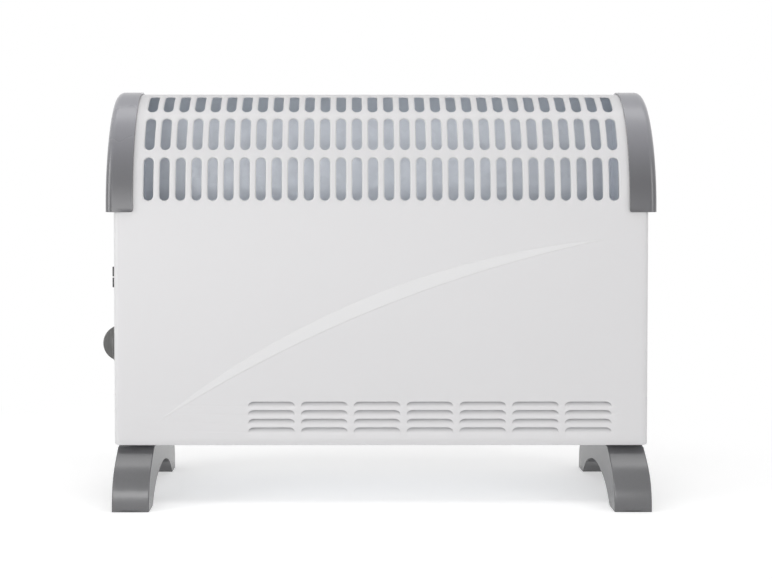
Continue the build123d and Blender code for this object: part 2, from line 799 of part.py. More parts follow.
def heating_rod(z):
    """Sheathed rod through the element, with a connection pin at each end."""
    start = left_baffle_x - bush_flange - rod_overhang
    end = right_baffle_x + sheet + bush_flange + rod_overhang
    sheath = rod_x(start, end, element_y, z, rod_radius)
    pins = rod_x(start - rod_pin_length, end + rod_pin_length, element_y, z, rod_pin_radius)
    return sheath + pins


def element_bushes():
    """Ceramic bushes that carry the rods in the two baffles."""
    bushes = []
    for z in rod_heights():
        for x, outward in ((left_baffle_x, -1), (right_baffle_x + sheet, 1)):
            flange = rod_x(x, x + outward * bush_flange, element_y, z, bush_flange_radius)
            shank = rod_x(x, x - outward * 4 * sheet, element_y, z, bush_shank_radius)
            bore = rod_x(x - outward * 8, x + outward * 8, element_y, z, rod_radius + rod_clearance)
            bushes.append(flange + shank - bore)
    return group(bushes)


def rod_link():
    """Strip that joins the two rods' pins at the right end."""
    seat = right_baffle_x + sheet + bush_flange + rod_overhang
    rise = rod_spacing / 2 + 2 * rod_pin_radius
    strip = block(seat, seat + sheet, element_y - 3, element_y + 3, element_z - rise, element_z + rise)
    holes = [rod_x(seat - 1, seat + 2, element_y, z, rod_pin_radius + spindle_clearance) for z in rod_heights()]
    return strip - holes


def wire(radii, *points):
    """One insulated lead: straight runs joined by arcs."""
    path = FilletPolyline(*points, radius=radii)
    return sweep(Plane(path @ 0, z_dir=path % 0) * Circle(wire_radius), path=path)


def internal_wires():
    """Leads between the supply block, switch, thermostat, cut-out and rods."""
    lower = rocker_centres()[1]
    high_rod, low_rod = rod_heights()
    way_x = left_baffle_x - terminal_block_depth + 5
    way_z = terminal_block_z + terminal_block_height / 2 - 4
    tab_x = panel_face_x + switch_depth + terminal_length
    pin_x = left_baffle_x - bush_flange - rod_overhang - rod_pin_length
    cutout_x = left_baffle_x - terminal_length
    stat_x = panel_face_x + panel_wall + 6 + terminal_thickness / 2
    stat_z = thermostat_z - thermostat_height / 2 - terminal_length
    drop_x = tab_x - 3.4
    drop_y = element_y - 3.5
    turn_x = cutout_x - 11
    turn_y = element_y - 8
    live = wire((8,), (way_x, -6, way_z), (way_x, -6, lower), (tab_x, -6, lower))
    neutral = wire((6, 5), (way_x, 6, way_z), (way_x, 6, low_rod - 16), (pin_x - 8, element_y, low_rod),
                   (pin_x, element_y, low_rod))
    switched = wire((5, 6, 6), (stat_x, -4.5, stat_z), (stat_x, -4.5, stat_z - 12), (drop_x, drop_y, stat_z - 12),
                    (drop_x, drop_y, cutout_z), (cutout_x, drop_y, cutout_z))
    heating = wire((3, 6, 4, 3), (cutout_x, element_y + 3.5, cutout_z), (cutout_x - 6, element_y + 3.5, cutout_z),
                   (turn_x, turn_y, cutout_z - 18), (turn_x, turn_y, high_rod + 8), (turn_x, element_y, high_rod),
                   (pin_x, element_y, high_rod))
    return group([live, neutral, switched, heating])


def cutout_screw_heights():
    """Heights of the two cut-out screws."""
    return [cutout_z - cutout_ear_spacing / 2, cutout_z + cutout_ear_spacing / 2]


def thermal_cutout():
    """Disc cut-out on the hot side of the left baffle, its tabs through to the wiring side."""
    face = left_baffle_x + sheet
    disc = rod_x(face + 0.8, face + cutout_height, element_y, cutout_z, cutout_radius)
    rise = cutout_ear_spacing / 2 + screw_head_radius
    ears = block(face, face + 0.8, element_y - 5, element_y + 5, cutout_z - rise, cutout_z + rise)
    holes = [rod_x(face - 1, face + 2, element_y, z, screw_radius) for z in cutout_screw_heights()]
    tabs = [block(left_baffle_x - terminal_length, face + 1, element_y + y - 0.4, element_y + y + 0.4,
                  cutout_z - 2.5, cutout_z + 2.5) for y in (-3.5, 3.5)]
    return disc + ears + tabs - holes


def cutout_screws():
    """Two screws through the cut-out's ears into the baffle."""
    seat = left_baffle_x + sheet + 0.8
    screws = [Pos(seat, element_y, z) * Rot(0, -90, 0) * screw(screw_length / 2) for z in cutout_screw_heights()]
    return group(screws)


def supply_screw_places():
    """Positions across the baffle of the terminal block's two screws."""
    return [-terminal_block_length / 2 + 5, terminal_block_length / 2 - 5]


def terminal_block():
    """Three-way block for the supply cable, on the wiring side of the left baffle."""
    high = left_baffle_x
    low = high - terminal_block_depth
    half = terminal_block_length / 2
    rise = terminal_block_height / 2
    body = block(low, high, -half, half, terminal_block_z - rise, terminal_block_z + rise)
    ways = [rod_z(terminal_block_z - rise - 1, terminal_block_z + rise + 1, low + 5, y, 1.8) for y in (-6, 0, 6)]
    holes = [rod_x(low - 1, high + 1, y, terminal_block_z, screw_radius) for y in supply_screw_places()]
    return body - ways - holes


def terminal_block_screws():
    """Two screws that hold the terminal block to the baffle."""
    seat = left_baffle_x - terminal_block_depth
    length = terminal_block_depth + 4
    return group([Pos(seat, y, terminal_block_z) * Rot(0, 90, 0) * screw(length) for y in supply_screw_places()])


def cable_gland():
    """Cable inlet bush in the rear panel: flange outside, threaded shank inside."""
    flange = rod_y(half_depth, half_depth + gland_flange, cable_x, cable_z, gland_flange_radius)
    flange = fillet(flange.edges().sort_by(Axis.Y)[-1:], 1.2)
    inner_end = half_depth - sheet - gland_nut_thickness - 3
    shank = rod_y(inner_end, half_depth, cable_x, cable_z, gland_shank_radius)
    bore = rod_y(inner_end - 1, half_depth + gland_flange + 1, cable_x, cable_z, cable_radius)
    return flange + shank - bore


def gland_nut():
    """Hexagon nut that clamps the cable inlet to the rear panel."""
    front = half_depth - sheet - gland_nut_thickness
    hexagon = Plane.XZ * RegularPolygon(gland_flange_radius, 6)
    nut = Pos(cable_x, front + gland_nut_thickness, cable_z) * extrude(hexagon, gland_nut_thickness)
    hole = rod_y(front - 1, half_depth, cable_x, cable_z, gland_shank_radius + fit_gap / 2)
    return nut - hole


def mirrored(piece):
    """The same piece on the other end of the heater."""
    return piece.mirror(Plane.YZ)


def save(name, piece):
    """Writes one node, moved so that the whole heater is centred on X = 0."""
    placed = Pos(export_shift, 0, 0) * piece
    solids = placed.solids()
    shape = solids[0] if len(solids) == 1 else Compound(children=list(solids))
    shape.label = name
    export_step(shape, os.path.join("parts", name + ".step"))


def build_all():
    """Every node of the heater."""
    cap = end_cap()
    leg = foot()
    upper, lower = rocker_centres()
    high_rod, low_rod = rod_heights()
    return {
        "front_panel": front_panel(),
        "rear_panel": rear_panel(),
        "base_plate": base_plate(),
        "side_seam_strips": side_seam_strips(),
        "top_seam_strip": top_seam_strip(),
        "left_end_cap": mirrored(cap),
        "right_end_cap": cap,
        "cap_screws": cap_screws(),
        "left_foot": mirrored(leg),
        "right_foot": leg,
        "foot_screws": foot_screws(),
        "lip_screws": lip_screws(),
        "control_panel": control_panel(),
        "control_panel_screws": control_panel_screws(),
        "switch_housing": switch_housing(),
        "rocker_pin": rocker_pin(),
        "upper_rocker": rocker(upper),
        "lower_rocker": rocker(lower),
        "switch_terminals": switch_terminals(),
        "thermostat_knob": thermostat_knob(),
        "thermostat_spindle": thermostat_spindle(),
        "thermostat_body": thermostat_body(),
        "thermostat_blade": thermostat_blade(),
        "thermostat_terminals": thermostat_terminals(),
        "thermostat_screws": thermostat_screws(),
        "left_end_baffle": left_end_baffle(),
        "right_end_baffle": right_end_baffle(),
        "inner_reflector": inner_reflector(),
        "element_fins": element_fins(),
        "upper_heating_rod": heating_rod(high_rod),
        "lower_heating_rod": heating_rod(low_rod),
        "rod_link": rod_link(),
        "element_bushes": element_bushes(),
        "internal_wires": internal_wires(),
        "thermal_cutout": thermal_cutout(),
        "cutout_screws": cutout_screws(),
        "terminal_block": terminal_block(),
        "terminal_block_screws": terminal_block_screws(),
        "cable_gland": cable_gland(),
        "gland_nut": gland_nut(),
    }


os.makedirs("parts", exist_ok=True)
for node_name, node_shape in build_all().items():
    save(node_name, node_shape)
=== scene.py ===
import bpy
import math
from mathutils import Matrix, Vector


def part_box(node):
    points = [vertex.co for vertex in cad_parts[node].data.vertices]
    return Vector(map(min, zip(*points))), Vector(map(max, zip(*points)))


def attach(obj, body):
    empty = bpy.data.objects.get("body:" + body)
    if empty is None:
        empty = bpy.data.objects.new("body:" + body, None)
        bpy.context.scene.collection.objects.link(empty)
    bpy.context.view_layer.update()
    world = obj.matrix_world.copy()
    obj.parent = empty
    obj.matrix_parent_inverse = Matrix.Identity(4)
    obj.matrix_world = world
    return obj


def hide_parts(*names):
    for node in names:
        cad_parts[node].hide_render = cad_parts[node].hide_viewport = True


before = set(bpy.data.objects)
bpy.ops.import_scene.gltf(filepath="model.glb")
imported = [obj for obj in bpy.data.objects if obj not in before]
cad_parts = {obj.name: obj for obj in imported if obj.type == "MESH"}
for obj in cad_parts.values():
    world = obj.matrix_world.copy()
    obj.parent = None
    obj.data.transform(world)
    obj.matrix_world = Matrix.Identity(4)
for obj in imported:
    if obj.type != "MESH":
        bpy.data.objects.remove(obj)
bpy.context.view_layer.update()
bpy.ops.object.select_all(action="DESELECT")

# Viewpoint. The heater is seen from in front, a little above its crown and left of its
# middle, through a shifted lens, so the view is nearly level and upright edges stay upright.
view_left, view_distance, view_height = 0.0337, 1.1431, 0.3173
view_dip, view_turn = 1.202, -0.077
plate_low, plate_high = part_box("base_plate")
casing_middle = (plate_low[0] + plate_high[0]) / 2
camera_data = bpy.data.cameras.new("viewpoint")
camera_data.lens = 53.185
camera_data.sensor_width = 36.0
camera_data.shift_x = 0.05
camera_data.shift_y = -0.12
camera = bpy.data.objects.new("viewpoint", camera_data)
camera.location = (casing_middle - view_left, -view_distance, view_height)
camera.rotation_euler = (math.radians(90 - view_dip), 0, math.radians(view_turn))
bpy.context.scene.collection.objects.link(camera)
bpy.context.scene.camera = camera
bpy.context.scene.view_settings.view_transform = "Standard"

# Front and rear panels. Two stampings of 1 mm sheet, powder coated white: folded ends, a
# curved hood with rows of slots whose rims are drawn inwards, and louvres pressed in near
# the foot. They meet at the middle of each end and at the crown.
gauge = 0.001
half_length = 0.2556
half_depth = 0.059
springing = 0.285
crown_rise = 0.1106
crown_angles = (83, 86, 90)
steepest_rise = 0.98
foot_height = 0.057
fold_radius = 0.007
fold_start = half_length - fold_radius
fold_angles = (11, 22, 34, 45, 56, 68, 79, 90)
margin_line = 0.240
hem = 0.0015
hem_middle = 0.00044
lip = 0.013
seam = -0.00005
sheet_weld = 0.00003
smooth_fold = 35

# Slots: height of each row's foot and head, and the steps up its sides
slot_rows = [(0.2910, 0.3320, 6), (0.3395, 0.3703, 4), (0.3769, 0.3936, 3)]
row_edges = [springing, 0.33575, 0.3736, 0.39435]
slot_columns = 30
slot_pitch = 0.0153
slot_radius = 0.0046
rim_radius = 0.0015
rim_angles = (0, 0.52, 1.05, 1.571)
rim_lap = 0.0002
across_steps = 6
corner_steps = 3
bend_steps = across_steps + 2 * corner_steps

# Louvres: their lips' heights, and the steps in from their ends and down from their lips
louvre_lips = [0.0744, 0.0827, 0.0910, 0.0991]
louvre_band = (0.0635, 0.1046)
louvre_groups = 7
louvre_first = -0.1047
louvre_pitch = 0.0504
louvre_width = 0.0447
louvre_height = 0.0055
louvre_depth = 0.0042
louvre_turn = 0.0060
louvre_end_steps = [0, 0.0004, 0.0011, 0.0021, 0.0033, 0.0045, louvre_turn]
louvre_rise_steps = (1.0, 0.75, 0.5, 0.28, 0.12, 0.0)
louvre_droop = 0.75
louvre_swell = 1.5
tolerance = 1e-6

# Openings in the end faces: foot, head, and reach from the seam
grip_opening = (0.2974, 0.3306, 0.0476)
control_opening = (0.122, 0.238, 0.017)


def on_panel(x, z, turn=0.0, inward=0.0):
    """A point of the pressed sheet: along it, up it, round its end fold, and inwards."""
    depth = fold_radius - (fold_radius - inward) * math.cos(turn)
    x = x + math.copysign(1, x) * (fold_radius - inward) * math.sin(turn)
    if z <= springing:
        return (casing_middle + x, depth - half_depth, z)
    s = min(1.0, (z - springing) / crown_rise)
    c = math.sqrt(1 - s * s)
    ny, nz = c / half_depth, s / crown_rise
    size = math.hypot(ny, nz)
    return (casing_middle + x, depth * ny / size - half_depth * c, z - depth * nz / size)


def hood_slope(z):
    """How much of a length along the hood is seen from the front, at a height."""
    rise = min(max(z - springing, 0) / crown_rise, steepest_rise)
    upright = crown_rise * math.sqrt(1 - rise * rise)
    return upright / math.hypot(upright, half_depth * rise)


def slot_outline(low, high, steps, grow):
    """A round-ended slot, anticlockwise from its lower right; its ends flatten up the hood."""
    reach, foot_rise, head_rise = slot_radius + grow, hood_slope(low), hood_slope(high)
    foot, head = low + slot_radius * foot_rise, high - slot_radius * head_rise
    side = [foot + (head - foot) * i / steps for i in range(steps + 1)]
    turn = [math.pi * i / bend_steps for i in range(bend_steps)]
    points = [(reach, z) for z in side[:-1]]
    points += [(reach * math.cos(a), head + reach * head_rise * math.sin(a)) for a in turn]
    points += [(-reach, z) for z in reversed(side[1:])]
    points += [(-reach * math.cos(a), foot - reach * foot_rise * math.sin(a)) for a in turn]
    return points


def cell_edge(bottom, top, outline, steps):
    """The rectangle round one slot, with a point for each point of the slot's outline."""
    half = slot_pitch / 2
    foot, head = outline[0][1], outline[steps][1]
    side = [foot + (head - foot) * i / steps for i in range(steps + 1)]
    away = range(corner_steps + 1)
    back = range(corner_steps - 1, 0, -1)
    across = range(1, across_steps + 1)
    points = [(half, z) for z in side[:-1]]
    points += [(half, head + (top - head) * i / corner_steps) for i in away]
    points += [(half - slot_pitch * i / across_steps, top) for i in across]
    points += [(-half, head + (top - head) * i / corner_steps) for i in back]
    points += [(-half, z) for z in reversed(side[1:])]
    points += [(-half, foot - (foot - bottom) * i / corner_steps) for i in away]
    points += [(-half + slot_pitch * i / across_steps, bottom) for i in across]
    points += [(half, foot - (foot - bottom) * i / corner_steps) for i in back]
    return points


def press(x, z, scoops):
    """Where a point of the louvre band goes: down towards a louvre's ends, and inwards."""
    for start, end in scoops:
        for top in louvre_lips:
            up = (z - top + louvre_height) / louvre_height
            if start - tolerance < x < end + tolerance and 1e-4 < up <= 1 + 1e-4:
                along = max(0.0, min(1.0, min(x - start, end - x) / louvre_turn))
                round_off = math.sqrt(1 - (1 - along) ** 2)
                lowered = z - up * louvre_droop * louvre_height * (1 - round_off)
                return lowered, louvre_depth * round_off * up ** louvre_swell
    return z, 0.0


def stamp_panel(name, rows, control_end):
    """One pressed panel, facing -Y: slots, louvres, folded ends and a lip all round its foot."""
    points, faces, known = [], [], {}

    def at(x, z, turn=0.0, inward=0.0):
        """The number of a point of the pressed sheet, made when it is first asked for."""
        key = (round(x, 6), round(z, 6), round(turn, 4), round(inward, 6))
        if key not in known:
            known[key] = len(points)
            points.append(on_panel(x, z, turn, inward))
        return known[key]

    def flat(x, y, z):
        """The number of a point off the pressed sheet: on an end face or the lip."""
        key = ("flat", round(x, 5), round(y, 5), round(z, 5))
        if key not in known:
            known[key] = len(points)
            points.append((casing_middle + x, y, z))
        return known[key]

    def row(across, low, high, inner=0.0, outer=0.0):
        """A row of four-sided faces between two heights."""
        return [(at(a, low, 0.0, inner), at(b, low, 0.0, inner),
                 at(b, high, 0.0, outer), at(a, high, 0.0, outer))
                for a, b in zip(across, across[1:])]

    # the rows of slots: each slot's cell runs down into a rounded rim; a row left whole is
    # a grid that follows the hood
    half_cells = slot_pitch * (slot_columns / 2)
    side_heights = []
    rings = [(rim_radius * (1 - math.sin(a)), rim_radius * (1 - math.cos(a))) for a in rim_angles]
    rings.append((0.0, rim_radius + rim_lap))
    for number, (low, high, steps) in enumerate(slot_rows):
        outline = slot_outline(low, high, steps, 0.0)
        edge = cell_edge(row_edges[number], row_edges[number + 1], outline, steps)
        side_heights += [z for x, z in edge if abs(x - slot_pitch / 2) < tolerance]
        for column in range(slot_columns):
            x = (column - (slot_columns - 1) / 2) * slot_pitch
            loop = [at(x + u, z) for u, z in edge]
            if number >= rows:
                across = [x - slot_pitch / 2 + slot_pitch * i / across_steps
                          for i in range(across_steps + 1)]
                rises = sorted({round(z, 6) for u, z in edge})
                for low_z, high_z in zip(rises, rises[1:]):
                    faces += row(across, low_z, high_z)
                continue
            for grow, inward in rings:
                shape = slot_outline(low, high, steps, grow)
                ring = [at(x + u, z, 0.0, inward) for u, z in shape]
                faces += [(loop[i - 1], loop[i], ring[i], ring[i - 1]) for i in range(len(loop))]
                loop = ring

    # the crown, above the top row
    crown = [row_edges[-1]]
    crown += [springing + crown_rise * math.sin(math.radians(a)) for a in crown_angles]
    columns = sorted({round((c - slot_columns / 2) * slot_pitch + slot_pitch * i / across_steps, 6)
                      for c in range(slot_columns) for i in range(across_steps + 1)})
    for low, high in zip(crown, crown[1:]):
        faces += row(columns, low, high)

    # the louvres: each is pressed inwards towards its upper edge, where the sheet is cut
    lines, scoops = {-half_cells, half_cells}, []
    for group in range(louvre_groups):
        centre = louvre_first + louvre_pitch * group
        start, end = centre - louvre_width / 2, centre + louvre_width / 2
        across = [start + s for s in louvre_end_steps] + [centre]
        across += [end - s for s in reversed(louvre_end_steps)]
        lines.update(round(x, 6) for x in across)
        scoops.append((start, end))
    lines = sorted(round(x, 6) for x in lines)
    band_foot, band_head = louvre_band
    band = [band_foot]
    for top in louvre_lips:
        band += [top - louvre_height * f for f in louvre_rise_steps]
    band.append(band_head)
    for low, high in zip(band, band[1:]):
        is_scoop = any(top - louvre_height - tolerance < low and high < top + tolerance
                       for top in louvre_lips)
        for a, b in zip(lines, lines[1:]):
            corners = []
            for x, z in ((a, low), (b, low), (b, high), (a, high)):
                bent, depth = press(x, z, scoops)
                corners.append(at(x, bent, 0.0, depth if is_scoop else 0.0))
            faces.append(tuple(dict.fromkeys(corners)))

    # the sheet below the louvres, the turn at its foot, and the plain face above them
    fold = [(foot_height, hem), (foot_height + hem_middle, hem_middle), (foot_height + hem, 0.0)]
    faces += row(lines, foot_height + hem, band_foot)
    for (low, inner), (high, outer) in zip(fold, fold[1:]):
        faces += row(lines, low, high, inner, outer)
    faces.append([at(x, springing) for x in columns] + [at(x, band_head) for x in reversed(lines)])

    # the margins beside the slots, and the folds round both ends
    plain = sorted({round(v, 6) for v in [foot_height + hem] + band + side_heights + crown})
    heights = fold[:-1] + [(z, 0.0) for z in plain]
    margin = [(half_cells, 0.0), (margin_line, 0.0), (fold_start, 0.0)]
    margin += [(fold_start, math.radians(a)) for a in fold_angles]
    for side in (-1, 1):
        for (a, turn_a), (b, turn_b) in zip(margin, margin[1:]):
            for (low, inner), (high, outer) in zip(heights, heights[1:]):
                faces.append((at(side * a, low, turn_a, inner), at(side * b, low, turn_b, inner),
                              at(side * b, high, turn_b, outer), at(side * a, high, turn_a, outer)))

    # the end faces, left open round the controls and the hand grips
    for side in (-1, 1):
        rim = [at(side * fold_start, z, math.pi / 2, i) for z, i in heights]
        tall = [z for z, i in heights]
        openings = [control_opening, grip_opening] if side == control_end else [grip_opening]
        x, start = side * half_length, 0
        last = [flat(x, seam, foot_height)]
        for low, high, reach in openings:
            i = min(range(len(tall)), key=lambda k: abs(tall[k] - low))
            j = max(i + 1, min(range(len(tall)), key=lambda k: abs(tall[k] - high)))
            faces.append(rim[start:i + 1] + [flat(x, -reach, low), flat(x, seam, low)] + last)
            faces.append(rim[i:j + 1] + [flat(x, -reach, high), flat(x, -reach, low)])
            start, last = j, [flat(x, seam, high), flat(x, -reach, high)]
        faces.append(rim[start:] + last)

    # the lip turned in under the foot
    turns = [math.radians(a) for a in fold_angles]
    along = [-fold_start, -margin_line] + lines + [margin_line, fold_start]
    outer = [at(-fold_start, foot_height, a, hem) for a in reversed(turns)]
    outer += [at(x, foot_height, 0.0, hem) for x in along]
    outer += [at(fold_start, foot_height, a, hem) for a in turns]
    inner_x, inner_y = half_length - lip, lip - half_depth
    inner = [(half_length, seam), (inner_x, seam), (inner_x, inner_y), (-inner_x, inner_y),
             (-inner_x, seam)]
    faces.append([flat(-half_length, seam, foot_height)] + outer
                 + [flat(x, y, foot_height) for x, y in inner])

    mesh = bpy.data.meshes.new(name)
    mesh.from_pydata(points, [], [f for f in faces if len(set(f)) > 2])
    panel = bpy.data.objects.new(name, mesh)
    bpy.context.scene.collection.objects.link(panel)
    return panel


def edit_all(piece, operator, **settings):
    """Run one mesh operator on the whole of a piece, which stays active."""
    bpy.ops.object.select_all(action="DESELECT")
    piece.select_set(True)
    bpy.context.view_layer.objects.active = piece
    bpy.ops.object.mode_set(mode="EDIT")
    bpy.ops.mesh.select_all(action="SELECT")
    operator(**settings)
    bpy.ops.object.mode_set(mode="OBJECT")


def finish_sheet(panel, outside, inside):
    """Weld the stamping, turn its faces outwards, give it its gauge and its two finishes."""
    edit_all(panel, bpy.ops.mesh.remove_doubles, threshold=sheet_weld)
    edit_all(panel, bpy.ops.mesh.normals_make_consistent, inside=False)
    largest = max(panel.data.polygons, key=lambda face: face.area)
    if largest.normal.y > 0:
        edit_all(panel, bpy.ops.mesh.flip_normals)
    thicken = panel.modifiers.new("gauge", "SOLIDIFY")
    thicken.thickness = gauge
    thicken.offset = -1.0
    thicken.material_offset = 1
    panel.data.materials.append(outside)
    panel.data.materials.append(inside)
    bpy.ops.object.modifier_apply(modifier="gauge")
    bpy.ops.object.shade_smooth_by_angle(angle=math.radians(smooth_fold))


def effect(name, color, **amounts):
    """A new shader effect: its tree, its input node and its output node."""
    tree = bpy.data.node_groups.new(name, "ShaderNodeTree")
    tree.interface.new_socket(name="Coords", in_out="INPUT", socket_type="NodeSocketVector")
    tone = tree.interface.new_socket(name="Color", in_out="INPUT", socket_type="NodeSocketColor")
    tone.default_value = color
    for key, value in amounts.items():
        amount = tree.interface.new_socket(name=key, in_out="INPUT", socket_type="NodeSocketFloat")
        amount.default_value = value
    for key, kind in (("Color", "Color"), ("Roughness", "Float"), ("Height", "Float")):
        tree.interface.new_socket(name=key, in_out="OUTPUT", socket_type="NodeSocket" + kind)
    return tree, tree.nodes.new("NodeGroupInput"), tree.nodes.new("NodeGroupOutput")


def node(tree, kind, inputs=None, **settings):
    """Add a node, set its options, and fill or link its inputs."""
    made = tree.nodes.new(kind)
    for key, value in settings.items():
        setattr(made, key, value)
    for key, value in (inputs or {}).items():
        socket = made.inputs[key]
        if isinstance(value, bpy.types.NodeSocket):
            tree.links.new(value, socket)
        else:
            socket.default_value = value
    return made


def calculate(tree, operation, *values):
    """One step of arithmetic."""
    return node(tree, "ShaderNodeMath", dict(enumerate(values)), operation=operation).outputs[0]


def span(tree, value, low, high, start=0.0, end=1.0, curve="LINEAR"):
    """A value carried from the range low to high on to the range start to end."""
    limits = {0: value, 1: low, 2: high, 3: start, 4: end}
    return node(tree, "ShaderNodeMapRange", limits, interpolation_type=curve).outputs[0]


def noise(tree, coords, scale, detail):
    """A cloudy pattern."""
    inputs = {"Vector": coords, "Scale": scale, "Detail": detail}
    return node(tree, "ShaderNodeTexNoise", inputs).outputs["Fac"]


def blend(tree, kind, mask, first, second):
    """Mix two colours by a mask. The Mix node takes colours at its inputs 6 and 7."""
    inputs = {0: mask, 6: first, 7: second}
    return node(tree, "ShaderNodeMix", inputs, data_type="RGBA", blend_type=kind).outputs[2]


def tint(tree, color, value):
    """A colour made lighter or darker by a value."""
    grey = node(tree, "ShaderNodeCombineColor", {0: value, 1: value, 2: value}).outputs[0]
    return blend(tree, "MULTIPLY", 1.0, color, grey)


def deliver(tree, outlet, color, roughness, height):
    """Link an effect's three results to its output node."""
    for key, value in (("Color", color), ("Roughness", roughness), ("Height", height)):
        tree.links.new(value, outlet.inputs[key])


def finish(name, surface, amounts, strength, distance, rounding=0.0, **constants):
    """A material that wears one of the effects, with constants on its shader's own sockets."""
    material = bpy.data.materials.new(name)
    material.use_nodes = True
    tree = material.node_tree
    tree.nodes.clear()
    sockets = {key.replace("_", " "): value for key, value in constants.items()}
    shader = node(tree, "ShaderNodeBsdfPrincipled", sockets)
    node(tree, "ShaderNodeOutputMaterial", {"Surface": shader.outputs["BSDF"]})
    coords = node(tree, "ShaderNodeTexCoord").outputs["Object"]
    skin = node(tree, "ShaderNodeGroup", {"Coords": coords, **amounts}, node_tree=surface)
    bump = node(tree, "ShaderNodeBump",
                {"Strength": strength, "Distance": distance, "Height": skin.outputs["Height"]})
    if rounding:
        edge = node(tree, "ShaderNodeBevel", {"Radius": rounding}, samples=4)
        tree.links.new(edge.outputs["Normal"], bump.inputs["Normal"])
    tree.links.new(skin.outputs["Color"], shader.inputs["Base Color"])
    tree.links.new(skin.outputs["Roughness"], shader.inputs["Roughness"])
    tree.links.new(bump.outputs["Normal"], shader.inputs["Normal"])
    return material


# powder coat: a fine orange peel, with slow changes of tone and gloss
powder, given, outlet = effect("Powder coat", (0.8, 0.8, 0.8, 1), Tone=0.02, Gloss=0.36)
peel = noise(powder, given.outputs["Coords"], 900.0, 2.0)
slow = noise(powder, given.outputs["Coords"], 7.0, 3.0)
shade = calculate(powder, "ADD", slow, -0.5)
shade = calculate(powder, "MULTIPLY_ADD", shade, given.outputs["Tone"], 1.0)
rough = calculate(powder, "MULTIPLY_ADD", slow, 0.08, given.outputs["Gloss"])
deliver(powder, outlet, tint(powder, given.outputs["Color"], shade), rough, peel)


def powder_finish(name, color):
    """Powder coat with its orange peel, of the given colour."""
    return finish(name, powder, {"Color": color}, strength=0.10, distance=0.00015,
                  Roughness=0.4, Coat_Weight=0.12, Coat_Roughness=0.25)


def circle_through(a, b, c):
    """Centre and radius of the arc through three points, in metres."""
    (ax, ay), (bx, by), (cx, cy) = a, b, c
    sa, sb, sc = ax**2 + ay**2, bx**2 + by**2, cx**2 + cy**2
    d = 2 * (ax * (by - cy) + bx * (cy - ay) + cx * (ay - by))
    ux = (sa * (by - cy) + sb * (cy - ay) + sc * (ay - by)) / d
    uy = (sa * (cx - bx) + sb * (ax - cx) + sc * (bx - ax)) / d
    return (ux, uy), math.hypot(ax - ux, ay - uy)


panel_white = (0.724, 0.718, 0.727, 1)
crescent_white = (0.765, 0.762, 0.768, 1)
white = powder_finish("white_powder_coat", panel_white)
primer = powder_finish("pale_primer_inside", (0.80, 0.85, 0.91, 1))
front_white = powder_finish("white_powder_coat_front", panel_white)

# the shallow crescent lies between two arcs that meet at its tips
crescent_tips = ((-0.2124, 0.0802), (0.2141, 0.2543))
crescent_arcs = (((-0.0223, 0.1949), 1.0, 0.0), ((-0.0006, 0.1895), 0.0, 1.0))
crescent_edge = 0.0004
face_depth = -0.0585
tree = front_white.node_tree
shader, skin, bump = (tree.nodes[label] for label in ("Principled BSDF", "Group", "Bump"))
parts = node(tree, "ShaderNodeSeparateXYZ", {0: tree.nodes["Texture Coordinate"].outputs["Object"]})
place = node(tree, "ShaderNodeCombineXYZ", {0: parts.outputs[0], 1: 0.0, 2: parts.outputs[2]})
crescent = calculate(tree, "LESS_THAN", parts.outputs[1], face_depth)
for middle_point, within, beyond in crescent_arcs:
    (cx, cz), radius = circle_through(crescent_tips[0], middle_point, crescent_tips[1])
    far = node(tree, "ShaderNodeVectorMath",
               {0: place.outputs[0], 1: (cx + casing_middle, 0.0, cz)}, operation="DISTANCE")
    mask = span(tree, far.outputs[1], radius - crescent_edge, radius + crescent_edge, within, beyond)
    crescent = calculate(tree, "MULTIPLY", crescent, mask)
lighter = blend(tree, "MIX", crescent, skin.outputs["Color"], crescent_white)
tree.links.new(lighter, shader.inputs["Base Color"])
relief = node(tree, "ShaderNodeBump", {"Strength": 0.6, "Distance": 0.0004, "Height": crescent,
                                       "Normal": bump.outputs["Normal"]})
tree.links.new(relief.outputs["Normal"], shader.inputs["Normal"])

front = stamp_panel("front_stamping", 3, -1)
finish_sheet(front, front_white, primer)
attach(front, "casing")
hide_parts("front_panel")

rear = stamp_panel("rear_stamping", 2, 1)
finish_sheet(rear, white, primer)
edit_all(rear, bpy.ops.transform.rotate, value=math.pi, orient_axis="Z",
         center_override=(casing_middle, 0, 0))
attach(rear, "casing")
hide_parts("rear_panel")

# End caps. Two injection mouldings in satin grey, each a band over the hood's end with a
# side wall and a hand grip, held by two screws from inside.
cad_weld = 0.000002


def smooth_copy(name, new_name, angle, body="casing"):
    """Weld a CAD piece's triangles in a copy, smooth it, and show it in the piece's place."""
    piece = bpy.data.objects.new(new_name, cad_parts[name].data.copy())
    bpy.context.scene.collection.objects.link(piece)
    edit_all(piece, bpy.ops.mesh.remove_doubles, threshold=cad_weld)
    bpy.ops.object.shade_smooth_by_angle(angle=math.radians(angle))
    even = piece.modifiers.new("even_normals", "WEIGHTED_NORMAL")
    even.keep_sharp = True
    even.weight = 90
    bpy.ops.object.modifier_apply(modifier="even_normals")
    piece.data.materials.clear()
    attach(piece, body)
    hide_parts(name)
    return piece


